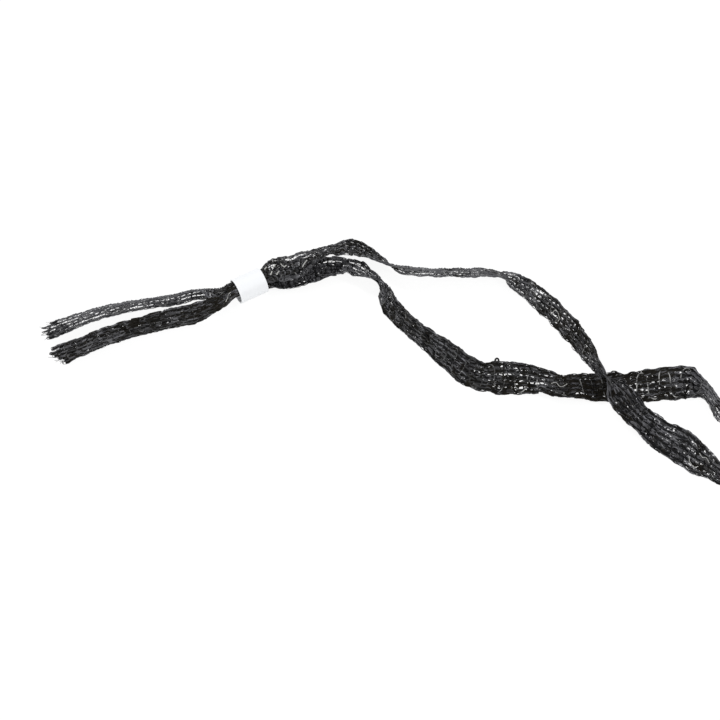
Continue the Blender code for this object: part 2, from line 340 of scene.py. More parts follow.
def placed(stations):
    """Given stations as rows of x, y, height, lean, width and curl."""
    rows = np.array(stations, dtype=float)
    width = rows[:, 4] * TAPE_WIDTH
    rest = resting_height(width, np.radians(rows[:, 5]), np.radians(rows[:, 3]))
    return np.column_stack([rows[:, :2], rows[:, 2] + rest, rows[:, 3], width, rows[:, 5]])


upper = np.concatenate([placed(UPPER_TAIL), gathered(-1), placed(UPPER_RUN)])
lower = np.concatenate([placed(LOWER_TAIL), gathered(1), placed(LOWER_RUN)])[::-1]
lower[:, 3] = 360.0 - lower[:, 3]
stations = np.concatenate([upper, lower])
knots = np.concatenate([[0], np.cumsum(np.hypot(*np.diff(stations[:, :2], axis=0).T))])
table = eased(knots, stations, np.arange(0, knots[-1], FINE_STEP))
middle, tilt = table[:, :3], np.radians(table[:, 3])
width, turn = table[:, 4], np.radians(table[:, 5])
middle[:, 2] = np.maximum(middle[:, 2], resting_height(width, turn, tilt))
run = unit(np.gradient(middle, axis=0))
level = unit(np.cross([0.0, 0.0, 1.0], run))
across = np.cos(tilt)[:, None] * level + np.sin(tilt)[:, None] * np.cross(run, level)
outward = np.cross(run, across)
steps = np.linalg.norm(np.diff(middle, axis=0), axis=1)
travelled = np.concatenate([[0], np.cumsum(steps)])
TAPE_LENGTH = float(travelled[-1])
lookup = np.column_stack([middle, run, across, outward, width, turn])
print("tape from cut end to cut end:", round(TAPE_LENGTH), "mm")


# %% Places on the ribbon
def on_ribbon(along, share, height):
    """Where points of the smooth ribbon lie, and the directions along, across and outward.

    along is the distance from the first cut end in millimetres, share runs from -1 to 1
    across the relaxed width, and height is the distance off the middle of the tape. A point
    beyond a cut end goes straight on in the direction that the tape has there.
    """
    inside = np.clip(along, 0.0, TAPE_LENGTH)
    place = np.interp(inside, travelled, np.arange(len(travelled)))
    first = np.minimum(place.astype(int), len(lookup) - 2)
    blend = (place - first)[..., None]
    row = lookup[first] * (1 - blend) + lookup[first + 1] * blend
    point, ahead, sideways, out_of_tape = (row[..., i : i + 3] for i in (0, 3, 6, 9))
    side, out, angle = bent(row[..., 12], row[..., 13], share, height)
    point = point + side[..., None] * sideways + out[..., None] * out_of_tape
    point = point + (along - inside)[..., None] * ahead
    cosine, sine = np.cos(angle)[..., None], np.sin(angle)[..., None]
    normal = cosine * out_of_tape + sine * sideways
    return point, ahead, cosine * sideways - sine * out_of_tape, normal


# %% [markdown]
# ## How the tape changes along its length
#
# It is the same knit everywhere, but it doesn't look the same everywhere. Where the tape has
# been handled it is drawn open, and white shows through. Where it lies slack it is shut.
# In folds, at the mouths of the collar and where the lower run passes under the upper one at the
# crossing, the tone paints the film brownish dark, as painted shade. On the upper tail, along part
# of the upper run and where the lower run lies in the upper one's shade beside the collar, it
# paints the film greyer, as painted light. One value for the whole tape would miss all this, so
# tables give them by the distance from the first cut end.

# %% Looks along the tape
# Distance, openness, tone, wrinkle in millimetres, and the shares at which both edges lie.
# Tone below about 0.45 paints the film brownish dark, as painted shade, in folds, at the collar's
# mouths and at the crossing. Tone above it paints the film greyer, as painted light, on the upper
# tail and on stretches of both runs.
OPENNESS, TONE, WRINKLE, LOW_EDGE, HIGH_EDGE = range(1, 6)
LOOKS = np.array(
    [
        (-3, 0.1, 0.62, 0, -1, 1), (3, 0.1, 0.76, 0.05, -1, 1), (9, 0.72, 1.04, 0.06, -1, 1),
        (30, 0.76, 1.06, 0.06, -1, 1), (52, 0.88, 1.06, 0.06, -1, 1),
        (58, 0.76, 0.96, 0.06, -0.8, 1.08), (63, 0.45, 0.85, 0.06, -0.76, 1.3),
        (66, 0.42, 0.68, 0.05, -0.9, 1.5), (70, 0.45, 0.44, 0.05, -0.9, 1.6),
        (73, 0.2, 0.34, 0, -0.8, 1.3), (77, 0, 0.3, 0, -0.55, 0.75), (82, 0, 0.34, 0, -0.8, 1),
        (90, 0.3, 0.5, 0, -1, 1), (96, 0.8, 0.58, 0.18, -1, 0.9),
        (100, 0.8, 0.58, 0.18, -1, 0.7), (104, 0.7, 0.56, 0.2, -1, 0.54),
        (108, 0.6, 0.56, 0.2, -1, 0.44), (112, 0.4, 0.56, 0.2, -1, 0.4),
        (115, 0.25, 0.56, 0.2, -1, 0.52), (118, 0.2, 0.56, 0.2, -1, 0.85),
        (120, 0.2, 0.54, 0.18, -1, 1.1), (123, 0.15, 0.54, 0.18, -1, 1.25),
        (127, 0.1, 0.52, 0.16, -1, 1), (131, 0, 0.5, 0.14, -1, 1),
        (140, 0, 0.52, 0.12, -1, 1), (152, 0.8, 0.84, 0.1, -1, 1),
        (186, 0.8, 0.84, 0.1, -1, 1), (196, 0.05, 0.6, 0.18, -1, 1),
        (212, 0, 0.47, 0.18, -1, 1), (226, 0, 0.47, 0.18, -1, 1),
        (240, -0.1, 0.5, 0.16, -1, 1), (246, 0.08, 0.5, 0.16, -1, 1),
        (256, 0, 0.5, 0.16, -1, 1), (262, -0.4, 0.56, 0.12, -1, 1),
        (288, -0.4, 0.6, 0.12, -1, 1), (296, 0.1, 0.5, 0.2, -1, 1),
        (306, -0.1, 0.54, 0.2, -1, 1), (386, 0, 0.7, 0.15, -1, 1),
        (396, -0.3, 0.86, 0.15, -1, 1), (405, -0.3, 0.52, 0.16, -1, 1),
        (414, 0.04, 0.43, 0.2, -1, 1), (430, 0.06, 0.43, 0.2, -1, 1),
        (437, -0.4, 0.38, 0.2, -1, 1), (452, -0.5, 0.36, 0.2, -1, 1),
        (459, -0.2, 0.44, 0.2, -1, 1), (464, 0, 0.46, 0.34, -1, 1),
        (474, 0.06, 0.46, 0.42, -1, 1), (479, 0, 0.47, 0.4, -1, 1),
        (484, -0.15, 0.48, 0.26, -1, 1), (493, -0.42, 0.52, 0.16, -1, 1),
        (500, -0.7, 0.53, 0.14, -1, 1), (524, -0.7, 0.54, 0.14, -1, 1),
        (534, -0.6, 0.56, 0.14, -1, 1), (539, -0.3, 0.5, 0.14, -1, 0.82),
        (545, 0.35, 0.66, 0.15, -1, 1), (556, 0.28, 0.68, 0.2, -1, 0.95),
        (560, 0, 0.7, 0.2, -0.88, 0.84), (568, -0.2, 0.74, 0.2, -0.9, 0.82),
        (573, -0.5, 0.74, 0.15, -0.88, 1), (578, -0.5, 0.72, 0.1, -1, 1),
        (588, -0.5, 0.7, 0, -1, 1), (592, -0.5, 0.5, 0, -1, 1),
        (596, -0.5, 0.3, 0, -1, -0.6), (607, -0.5, 0.28, 0, -1, -0.6),
        (612, -0.4, 0.32, 0.05, -1, 0), (615, -0.4, 0.36, 0.05, -1, 0.42),
        (624, -0.36, 0.45, 0.1, -0.96, 1), (640, -0.36, 0.46, 0.1, -1, 1),
        (668, -0.36, 0.46, 0.08, -1, 1), (680, -0.8, 0.48, 0.08, -1, 1),
    ]
)
# The face on which the legs of the stitches stand out, 1 or -1: the tape turns in its twists.
FACE = np.array([(238, 1), (252, -1), (310, -1), (380, 1)])
# How much more open the gaps are towards the share +1 edge, by distance.
TILTED_OPENNESS = np.array(
    [(0, 0.3), (10, 0.7), (60, 0.7), (70, 0.5), (76, 0), (538, 0), (546, 0.8), (562, 0.8), (570, 0)]
)
# How much the tone differs from one patch of a wale to the next, by distance.
PATCHINESS = np.array(
    [
        (0, 0.16), (70, 0.12), (90, 0.08), (144, 0.08), (152, 0.5), (188, 0.5), (198, 0.1),
        (606, 0.1), (620, 0.13),
    ]
)
# How strongly the bars that cross the tape are painted pale, as painted highlights for their
# glints, and how far they have come up, by distance.
BAR_HIGHLIGHTS = np.array(
    [
        (0, 0.25), (70, 0.2), (80, 0), (150, 0), (155, 0.2), (190, 0.2), (200, 0.15), (236, 0.1),
        (245, 0), (286, 0), (294, 0.35), (306, 0.3), (404, 0.1), (410, 0.4), (434, 0.4), (444, 0.1),
        (450, 0.25), (476, 0.3), (484, 0), (540, 0.1), (560, 0.2), (570, 0), (608, 0), (640, 0.05),
    ]
)


def looks(along, column):
    """The value of one column of the table at each distance along the tape."""
    return np.interp(along, LOOKS[:, 0], LOOKS[:, column])


print("tone of the tape, darkest and lightest:", LOOKS[:, TONE].min(), LOOKS[:, TONE].max())

# %% [markdown]
# ## Wrinkles and a scalloped edge
#
# Slack tape is never smooth. A noise texture could push the finished mesh about, but that
# would bend each film by itself. So the surface that the yarn is laid on is wrinkled, by a
# few sines that slant across the tape, and the whole knit goes up and down together.

# %% Wrinkled tape
WRINKLES = 9
WRINKLE_LENGTHS = (6.0, 15.0)
WRINKLE_SLANTS = (-1.1, 1.1)
SCALLOP_EVERY = 5.9
SCALLOP_DEPTH = 0.022
SCALLOP_LAG = 1.5
LEAST_HEIGHT = 0.12

random = np.random.default_rng(11)
wrinkle_pitch = 2 * np.pi / random.uniform(*WRINKLE_LENGTHS, WRINKLES)
wrinkle_slant = random.uniform(*WRINKLE_SLANTS, WRINKLES)
wrinkle_phase = random.uniform(0, 2 * np.pi, WRINKLES)
print("wrinkles, in mm from crest to crest:", np.round(2 * np.pi / wrinkle_pitch, 1))


def on_tape(along, sideways, height):
    """Where points of the wrinkled tape lie in the world, and the tape's normal there.

    The wrinkle is a sum of sines whose crests slant across the tape. Its slopes along and
    across tip the normal back. The edges are scalloped by a sine of the distance, and the
    relaxed width is spread between the two edges of the table.
    """
    share, height = np.broadcast_arrays(sideways / (TAPE_WIDTH / 2), height)
    wave = np.sin(2 * np.pi * along / SCALLOP_EVERY + SCALLOP_LAG * share)
    scallop = SCALLOP_DEPTH * share**2 * wave
    low, high = looks(along, LOW_EDGE), looks(along, HIGH_EDGE)
    share = (low + high) / 2 + (high - low) / 2 * share * (1 + scallop)
    amount = looks(along, WRINKLE) * np.sqrt(2 / WRINKLES)
    slanted = along[..., None] + wrinkle_slant * share[..., None] * TAPE_WIDTH / 2
    angle = wrinkle_pitch * slanted + wrinkle_phase
    slope = np.cos(angle) * wrinkle_pitch
    height = height + amount * np.sin(angle).sum(axis=-1)
    point, ahead, side, normal = on_ribbon(along, share, height)
    climb = (amount * slope.sum(axis=-1))[..., None]
    tip = (amount * (slope * wrinkle_slant).sum(axis=-1))[..., None]
    point[..., 2] = np.maximum(point[..., 2], LEAST_HEIGHT)
    return point, unit(normal - climb * ahead - tip * side)


# %% [markdown]
# ## A yarn is a section swept along a line
#
# Thousands of yarns are needed, so they are all made at once. A whole family of lines is one
# array, and its sections are added to it by broadcasting. The yarn of a net tape is a narrow
# polyethylene film, so its section is a flat oblong that lies with its broad side on the
# tape. Its long edges are kept sharp: a flat side flashes all at once as it turns to the
# light, where a round thread would only show a thin line.

# %% Mesh from arrays
SHARP_ABOVE = math.radians(50)


def quad_piece(name, points, quads, uv, tone):
    """A piece from arrays of points and quads, in millimetres, with a UV map and a tone."""
    mesh = bpy.data.meshes.new(name)
    mesh.vertices.add(len(points))
    mesh.vertices.foreach_set("co", (points * MM).astype(np.float32).ravel())
    mesh.loops.add(quads.size)
    mesh.loops.foreach_set("vertex_index", quads.astype(np.int32).ravel())
    mesh.polygons.add(len(quads))
    mesh.polygons.foreach_set("loop_start", np.arange(0, quads.size, 4, dtype=np.int32))
    mesh.polygons.foreach_set("use_smooth", np.ones(len(quads), dtype=bool))
    layer = mesh.uv_layers.new(name="yarn")
    layer.data.foreach_set("uv", uv.astype(np.float32).ravel())
    mesh.attributes.new("tone", "FLOAT", "POINT")
    mesh.attributes["tone"].data.foreach_set("value", tone.astype(np.float32).ravel())
    mesh.update(calc_edges=True)
    mesh.set_sharp_from_angle(angle=SHARP_ABOVE)
    print(f"{name}: {2 * len(quads)} triangles")
    return added(name, mesh)


# %% Film yarns
FILM_CORNERS = ((1, 1), (-1, 1), (-1, -1), (1, -1))


def film_uv(lines, sections):
    """The UV map of swept oblongs: u is the distance run along the line, in millimetres, and
    v the share of the way round the section.
    """
    step = np.linalg.norm(np.diff(lines, axis=1), axis=-1)
    step = np.concatenate([step, step[:, -1:]], axis=1)[:, :sections]
    far = np.cumsum(step, axis=1)
    u = np.stack([far - step, far, far, far - step], axis=-1)[:, :, None]
    v = (np.arange(4)[:, None] + np.array([0, 0, 1, 1])) / 4
    return np.stack(np.broadcast_arrays(u, v), axis=-1).reshape(-1, 4, 2)


def films(name, lines, half_width, half_depth, tone, roll=0.0, closed=False):
    """A piece of film yarns along many lines at once, which are given in the tape's own
    coordinates: along, sideways and height, each an array of lines by points.

    The four corners of a section are the line's point plus or minus half_width sideways and
    half_depth upright. Sideways lies in the tape, square to the line, and roll turns both
    about the line. tone gives the yarn's shade. A corner never goes under the table.
    """
    lines, normals = on_tape(*lines)
    count, length = lines.shape[:2]
    if closed:
        heading = unit(np.roll(lines, -1, axis=1) - np.roll(lines, 1, axis=1))
    else:
        heading = unit(np.gradient(lines, axis=1))
    level_side = unit(np.cross(heading, normals))
    level_up = np.cross(level_side, heading)
    roll = np.broadcast_to(roll, (count, length))[..., None]
    sideways = np.cos(roll) * level_side + np.sin(roll) * level_up
    upright = np.cos(roll) * level_up - np.sin(roll) * level_side
    wide = np.broadcast_to(half_width, (count, length))[..., None] * sideways
    deep = np.broadcast_to(half_depth, (count, length))[..., None] * upright
    points = np.stack([lines + a * wide + b * deep for a, b in FILM_CORNERS], axis=2)
    points[..., 2] = np.maximum(points[..., 2], 0.0)
    index = np.arange(count * length * 4).reshape(count, length, 4)
    here = index if closed else index[:, :-1]
    ahead = np.roll(index, -1, axis=1) if closed else index[:, 1:]
    quads = np.stack(
        [here, ahead, np.roll(ahead, -1, axis=2), np.roll(here, -1, axis=2)], axis=-1
    ).reshape(-1, 4)
    uv = film_uv(lines, here.shape[1])
    if not closed:
        ends = np.concatenate([index[:, 0], index[:, -1, ::-1]])
        quads = np.concatenate([quads, ends])
        uv = np.concatenate([uv, np.zeros((len(ends), 4, 2))])
    shade = np.broadcast_to(tone, (count, length))
    return quad_piece(name, points.reshape(-1, 3), quads, uv, np.repeat(shade, 4))


# %% [markdown]
# ## Where the chains run and end
#
# Warp knitting makes a tape of chains side by side, called wales, that run along it. This tape was
# cut with scissors, so its wales end at different places, and the last few millimetres of each have
# come away as a finger. Chance could spread the fingers, but they are few and the eye goes to them,
# so the drift of each is given one by one.

# %% Wales and fingers
WALES = 5
WALE_PITCH = TAPE_WIDTH / WALES
STITCH = 2.1
SPARE_STITCHES = 3.0

# For each wale: where it starts and ends, and how far its finger has come away sideways and
# outward at either cut end, in millimetres.
FIRST_TRIM = (0.3, 0.2, -0.6, -0.3, 3.4)
FIRST_DRIFT = ((-0.2, 0.1), (-0.1, 0.3), (-0.4, 0.1), (0.5, 0.0), (0.3, 0.3))
LAST_TRIM = (-0.9, -2.1, -1.3, 0.2, 1.7)
LAST_DRIFT = ((-0.2, 0.2), (-0.3, 0.0), (-0.4, -0.2), (-0.5, -0.1), (0.4, 0.9))
FINGER_LENGTH = 6.0
FINGER_CURVE = 1.6
TIP_TAPER = 3.0

wale_middles = (np.arange(WALES) - (WALES - 1) / 2) * WALE_PITCH
first_tips, last_tips = np.array(FIRST_TRIM), TAPE_LENGTH - np.array(LAST_TRIM)
spare = SPARE_STITCHES * STITCH
stitch_starts = np.arange(-spare, TAPE_LENGTH + spare, STITCH)
print("wales:", WALES, "with about", len(stitch_starts), "stitches each")


def finger_drift(along, wale):
    """How far a wale's finger has come away at a distance along: sideways and outward.

    It is the drift at the tip times a power of 1 - distance from the tip / finger length.
    """
    near = np.clip(1 - (along - first_tips[wale]) / FINGER_LENGTH, 0, 1) ** FINGER_CURVE
    far = np.clip(1 - (last_tips[wale] - along) / FINGER_LENGTH, 0, 1) ** FINGER_CURVE
    return [near * FIRST_DRIFT[wale][i] + far * LAST_DRIFT[wale][i] for i in (0, 1)]


def at_tip(along):
    """How broad the films are near the cut ends, as a factor: half as broad at the tips."""
    return 0.5 + 0.5 * np.clip(np.minimum(along, TAPE_LENGTH - along) / TIP_TAPER, 0, 1)


# %% [markdown]
# ## Gaps and tones, stitch by stitch
#
# A hole opens between two chains, so openness belongs to the gap between them. Holes drawn
# at random would look like noise: on a worn tape a few stitches open together, and film of
# one shade shows for a few stitches too. So part of the chance changes slowly along a gap,
# and part of it is new at every stitch.

# %% Open gaps and tones
OPENNESS_PATCH = 2
OPENNESS_SPREAD = (0.24, 0.34)
TONE_PATCH = 4
NEIGHBOUR_SHARES = (0.8, 0.5)
PATCH_OFFSET = 0.9
EDGE_OPENNESS = 0.35

random = np.random.default_rng(7)


def patches(rows, every, amount):
    """Random rows of numbers, one to a stitch, that change slowly along and across.

    Normal draws, one every few stitches, are joined by lines, and each row is a share of its
    own line plus a share of the next one's.
    """
    count = len(stitch_starts)
    draws = random.normal(0, amount, (rows + 1, count // every + 2))
    at = np.arange(count) / every + random.uniform(0, PATCH_OFFSET)
    at = np.minimum(at, draws.shape[1] - 1)
    grown = np.array([np.interp(at, np.arange(draws.shape[1]), row) for row in draws])
    return NEIGHBOUR_SHARES[0] * grown[:-1] + NEIGHBOUR_SHARES[1] * grown[1:]


tilt_share = np.linspace(-1, 1, WALES + 1)[:, None]
drawn = looks(stitch_starts, OPENNESS)
drawn = drawn + tilt_share * np.interp(stitch_starts, *TILTED_OPENNESS.T)
drawn = drawn + patches(WALES + 1, OPENNESS_PATCH, OPENNESS_SPREAD[0])
drawn += random.normal(0, OPENNESS_SPREAD[1], drawn.shape)
tone_patches = patches(WALES, TONE_PATCH, 1.0) * np.interp(stitch_starts, *PATCHINESS.T)
gap_open = np.maximum(drawn, 0.0)
gap_open[[0, -1]] *= EDGE_OPENNESS
print("share of the gaps that are open:", round(float((gap_open > 0).mean()), 2))

# %% [markdown]
# ## The chains
#
# Each stitch of a chain is a loop whose head is held down by the legs of the next one, so a
# chain looks like a row of nested V shapes. One stitch is a closed curve in the tape's own
# coordinates: a teardrop, narrow at its foot and wide at its head, with its legs lifted to
# the front and its foot and head sunk to the back. An array modifier could repeat one loop,
# but all would be alike. Here all are worked out together, each with its own chances, and a
# loop is narrower on a side whose gap is open.

# %% Chains of stitches
LOOP_POINTS = 14
STITCH_CENTRE = 0.8
STITCH_REACH = 0.85
LOOP_HALF = 1.08
LEAST_LOOP_HALF = 0.35
OPEN_GAP_TAKES = 0.7
LOOP_TAPER = 0.35
LOOP_RELIEF = 0.24
EDGE_SQUARENESS = 2.2
FILM_HALF_WIDTH = 0.26
FILM_HALF_DEPTH = 0.06
FILM_ROLL = 0.35

# How much shorter, narrower, flatter (as a share) and further back an inner strand lies.
INNER = {"reach": 0.3, "half": 0.4, "relief": 0.4, "height": 0.05}

# How much chance there is in each loop, and in its roll from point to point (twist).
CHANCE = {
    "reach": 0.10, "start": 0.20, "half": 0.08, "sway": 0.14,
    "relief": 0.04, "roll": 0.34, "twist": 0.15, "tone": 0.19,
}


def squared(wave, squareness):
    """A wave pressed towards a square one: tanh(k wave) / tanh(k)."""
    return np.tanh(squareness * wave) / np.tanh(squareness)


def chance(what, *shape, middle=0.0):
    """Normal draws round a middle, with the spread that the table gives."""
    return random.normal(middle, CHANCE[what], shape)


def stitch_loops(wale, strand):
    """Loops of one strand along one wale: along, sideways, height, roll and tone arrays.

    With the angle f round the loop: along = start + centre - reach cos f, sideways = half
    sin f (1 - taper cos f), height = -face relief cos 2f. Half is less on a side whose gap
    is drawn open, and strand 1 lies inside strand 0. At the tape's own edges a loop's side
    is squarer, so that the edge runs nearly straight.
    """
    last = last_tips[wale] - (STITCH_CENTRE + STITCH_REACH) * STITCH
    count = round((last - first_tips[wale]) / STITCH)
    starts = np.linspace(first_tips[wale], last, count)
    f = np.arange(LOOP_POINTS) * 2 * np.pi / LOOP_POINTS
    reach = STITCH * STITCH_REACH - INNER["reach"] * strand + chance("reach", count)
    start = starts + chance("start", count)
    along = start[:, None] + STITCH_CENTRE * STITCH - reach[:, None] * np.cos(f)
    half = LOOP_HALF + chance("half", count)
    left, right = (np.interp(starts, stitch_starts, gap_open[wale + i]) for i in (0, 1))
    open_side = np.where(np.sin(f) > 0, right[:, None], left[:, None])
    half = np.maximum(half[:, None] - OPEN_GAP_TAKES * open_side, LEAST_LOOP_HALF)
    half -= INNER["half"] * strand
    edge_side = {0: -1, WALES - 1: 1}.get(wale, 0)
    round_wave = np.sin(f) * (1 - LOOP_TAPER * np.cos(f))
    square_wave = squared(np.sin(f), EDGE_SQUARENESS)
    sideways = half * np.where(np.sin(f) * edge_side > 0, square_wave, round_wave)
    sideways += wale_middles[wale]
    sideways += chance("sway", count, 1) * (1 - np.cos(f))
    relief = LOOP_RELIEF * (1 - INNER["relief"] * strand) + chance("relief", count, 1)
    face = np.interp(start, *FACE.T)[:, None]
    height = -face * (relief * np.cos(2 * f) + INNER["height"] * strand)
    drift_side, drift_out = finger_drift(along, wale)
    roll = face * FILM_ROLL + chance("roll", count, 1) + chance("twist", *along.shape)
    tone = looks(start, TONE) + np.interp(start, stitch_starts, tone_patches[wale])
    tone += chance("tone", count, middle=0.03)
    return along, sideways + drift_side, height + drift_out, roll, tone[:, None]


def chain(wale):
    """One chain as a piece of its own, of two strands."""
    strands = [stitch_loops(wale, strand) for strand in range(2)]
    *lines, roll, tone = (np.concatenate(parts) for parts in zip(*strands))
    half_width = FILM_HALF_WIDTH * at_tip(lines[0])
    name = f"wale_{wale + 1}"
    return films(name, lines, half_width, FILM_HALF_DEPTH, tone, roll, closed=True)


wales = [chain(wale) for wale in range(WALES)]

# %% [markdown]
# ## The inlays
#
# Chains alone would fall apart, so other yarns are laid in that tie each wale to the next.
# One runs down the middle of each chain, some swing between two neighbours at every stitch,
# and one runs right across the tape and back. A dark strip behind the chains would shut
# their holes just as well, but yarns that wander leave holes of every size between them.

# %% Helpers for inlays
INLAY_HALF_DEPTH = 0.05
INLAY_WAVE = 0.05
INLAY_ENDS = (3.6, 2.6)
INLAY_SPREAD = 3.0
SPREAD_BELOW = 0.35
LEAST_SPREAD = 0.4
INLAY_TONE_CHANCE = 0.05
ROLL_EVERY = 4


def wander(steps, every, amount):
    """A slow random walk round zero: normal draws, one every few steps, joined by lines."""
    draws = random.normal(0, amount, steps // every + 2)
    return np.interp(np.arange(steps) / every, np.arange(len(draws)), draws)


def counted(unit_length, steps):
    """Positions along the inlaid length, counted in a length, with some steps to each."""
    first, last = INLAY_ENDS[0], TAPE_LENGTH - INLAY_ENDS[1]
    return np.arange(first / unit_length, last / unit_length, 1 / steps)


def spread(along, gaps):
    """How broad inlays lie, as a factor: they spread behind gaps that aren't drawn open, and
    are drawn thin behind those that are.
    """
    openness = [drawn[gap].mean(axis=0) for gap in gaps]
    local = np.array([np.interp(a, stitch_starts, row) for a, row in zip(along, openness)])
    return np.clip(1 + INLAY_SPREAD * (SPREAD_BELOW - local), LEAST_SPREAD, 1 + INLAY_SPREAD)


def inlay(name, lines, half_width, painted_shading, roll_chance):
    """One family of open inlay yarns as a piece."""
    along = lines[0]
    roll = np.array([wander(along.shape[1], ROLL_EVERY, roll_chance) for _ in along])
    # The tone of an inlay is shifted. The inlays behind the chains are painted darker, as painted
    # shade in the depths of the knit, and the bar is painted more pale, as a painted highlight.
    tone = looks(along, TONE) + painted_shading
    tone = tone + INLAY_TONE_CHANCE * random.standard_normal(along.shape)
    return films(name, lines, half_width * at_tip(along), INLAY_HALF_DEPTH, tone, roll)


# %% Yarns down the chains
CORE_HALF_WIDTH = 0.30
CORE_STEPS = 1300
CORE_INSET = 0.5


def core_lines(wale):
    """A wandering line down one wale to its cut ends, behind the legs of its stitches:
    height = wave sin(2 pi along / stitch).
    """
    ends = (first_tips[wale] + CORE_INSET, last_tips[wale] - CORE_INSET)
    along = np.linspace(*ends, CORE_STEPS)[None]
    drift_side, drift_out = finger_drift(along, wale)
    sideways = wale_middles[wale] + wander(CORE_STEPS, every=5, amount=0.14) + drift_side
    height = INLAY_WAVE * np.sin(2 * np.pi * along / STITCH) + drift_out
    return along, sideways, height


cores = [np.concatenate(part) for part in zip(*map(core_lines, range(WALES)))]
core_width = CORE_HALF_WIDTH * spread(cores[0], [[w, w + 1] for w in range(WALES)])
# The cores are painted darker than the chains: painted shade behind them.
core_inlays = inlay("core_inlays", cores, core_width, painted_shading=-0.12, roll_chance=0.2)

# %% Yarns that swing between two chains
SWING_HALF_WIDTH = 0.24
SWING_STEPS = 6
SWING_SQUARENESS = 1.4


def swing_lines():
    """Zigzags between neighbouring wales: sideways = gap's middle + half a pitch times a
    squared wave of period two stitches.
    """
    t = counted(STITCH, SWING_STEPS)
    gaps = np.arange(WALES - 1)[:, None]
    wave = squared(np.cos(np.pi * (t + gaps)), SWING_SQUARENESS)
    drift = np.array([wander(len(t), every=9, amount=0.14) for _ in gaps])
    sideways = wale_middles[:-1, None] + WALE_PITCH * (0.5 + 0.5 * wave) + drift
    height = INLAY_WAVE * np.sin(np.pi * (t + gaps))
    return np.broadcast_to(STITCH * t, sideways.shape), sideways, height


swings = swing_lines()
swing_width = SWING_HALF_WIDTH * spread(swings[0], [[g + 1] for g in range(WALES - 1)])
# The swinging yarns are painted a little darker too: painted shade behind the chains.
swing_inlays = inlay("swing_inlays", swings, swing_width, painted_shading=-0.06, roll_chance=0.25)

# %% A yarn that runs across
BAR_HALF_WIDTH = 0.15
BAR_STITCHES = 2
BAR_STEPS = 16
BAR_OVERHANG = 0.35
BAR_DWELL = 0.9
BAR_HEIGHT = 0.08
BAR_RISE = 0.5
MOST_PALE = 1.5


def bar_lines():
    """One serpentine across the whole tape: with u counting crossings, sideways = edge cos(pi u)
    and along = 2 stitches times (u + dwell sin(2 pi u) / 2 pi). Here and there it has come up and
    is painted pale, as a painted highlight for its glints.
    """
    edge = wale_middles[-1] + BAR_OVERHANG
    u = counted(BAR_STITCHES * STITCH, BAR_STEPS)
    along = BAR_STITCHES * STITCH * (u + BAR_DWELL * np.sin(2 * np.pi * u) / (2 * np.pi))
    along = along + wander(len(u), every=5, amount=0.22)
    # pale is a painted highlight: how much more pale the bar is painted, which also sets how far it
    # rises.
    pale = np.clip(wander(len(u), every=2, amount=1.3), 0, MOST_PALE)
    pale *= np.interp(along, *BAR_HIGHLIGHTS.T)
    height = BAR_HEIGHT + BAR_RISE * pale
    return (along[None], edge * np.cos(np.pi * u)[None], height[None]), pale


bars, bar_highlight = bar_lines()
# The bar is painted more pale where it glints: a painted highlight.
bar_inlay = inlay("bar_inlay", bars, BAR_HALF_WIDTH, painted_shading=bar_highlight, roll_chance=0.3)
knit = [*wales, core_inlays, swing_inlays, bar_inlay]

# %% [markdown]
# ## Loose ends
#
# Scissors leave fine filaments standing out of both cut ends, one loop has been picked out of the
# tape's edge at a bend of the lower run, and thin pale threads lie where wear has drawn them up.
# Six broader pale threads lie in the throat by the collar as short white marks. Hair particles
# would scatter such yarns anywhere. These are few, so each has its own line in the tape's
# coordinates, and a section given as half a width and half a depth.

# %% Hairs at the cut ends
HAIRS = 11
HAIR_SECTION = (0.06, 0.03)
HAIR_STEPS = 9
HAIR_ROOT = 1.6
HAIR_REACHES = (1.6, 3.4)
HAIR_BENDS = (0.7, 0.4)
HAIR_PLACE_CHANCE = 0.5
HAIR_LIFT = 0.3


def hair_lines():
    """Filaments at both cut ends: with u from 0 to 1 they run straight on by reach u, and
    drift sideways and outward by chance amounts that grow with the square of u.
    """
    u = np.linspace(0, 1, HAIR_STEPS)
    wale = random.integers(0, WALES, 2 * HAIRS)
    at_first = np.arange(2 * HAIRS) < HAIRS
    tip = np.where(at_first, first_tips[wale], last_tips[wale])
    onward = np.where(at_first, -1.0, 1.0)
    reach = random.uniform(*HAIR_REACHES, 2 * HAIRS)
    along = tip[:, None] + onward[:, None] * (reach[:, None] * u - HAIR_ROOT)
    bend = random.normal(0, HAIR_BENDS, (2 * HAIRS, 2))
    start = wale_middles[wale] + random.normal(0, HAIR_PLACE_CHANCE, 2 * HAIRS)
    sideways = start[:, None] + bend[:, :1] * u**2
    return along, sideways, bend[:, 1:] * (HAIR_LIFT + u**2)


hairs = films("hairs", hair_lines(), *HAIR_SECTION, tone=0.7)

# %% The loop pulled out of the edge
# Where it is, how wide and how high it stands, in millimetres.
PULLED_LOOP = (480.5, 1.05, 1.5)
PULLED_SECTION = (0.36, 0.18)
PULLED_STEPS = 16
PULLED_CLOSING = 0.9
PULLED_FOOT = 0.45
PULLED_INSET = 0.2
PULLED_HEIGHT = 0.25


def loop_line(at, wide, high):
    """A loop out of the tape's first edge. With f over half a turn and a little more at both
    ends: along = at + wide / 2 cos f, sideways = edge - high (foot + (1 - foot) sin f).
    """
    f = np.linspace(-PULLED_CLOSING, np.pi + PULLED_CLOSING, PULLED_STEPS)[None]
    edge = wale_middles[0] - LOOP_HALF + PULLED_INSET
    sideways = edge - high * (PULLED_FOOT + (1 - PULLED_FOOT) * np.sin(f))
    return at + wide / 2 * np.cos(f), sideways, np.full(f.shape, PULLED_HEIGHT)


pulled_loop = films("pulled_loop", loop_line(*PULLED_LOOP), *PULLED_SECTION, tone=0.4)

# %% Pale threads
THREAD_STEPS = 24
THREAD_HEIGHT = 0.42
THREAD_DIP = 0.14
THREAD_DIP_PITCH = 2.6
TO_CAMERA = np.array([0.0, -math.cos(rise), math.sin(rise)])

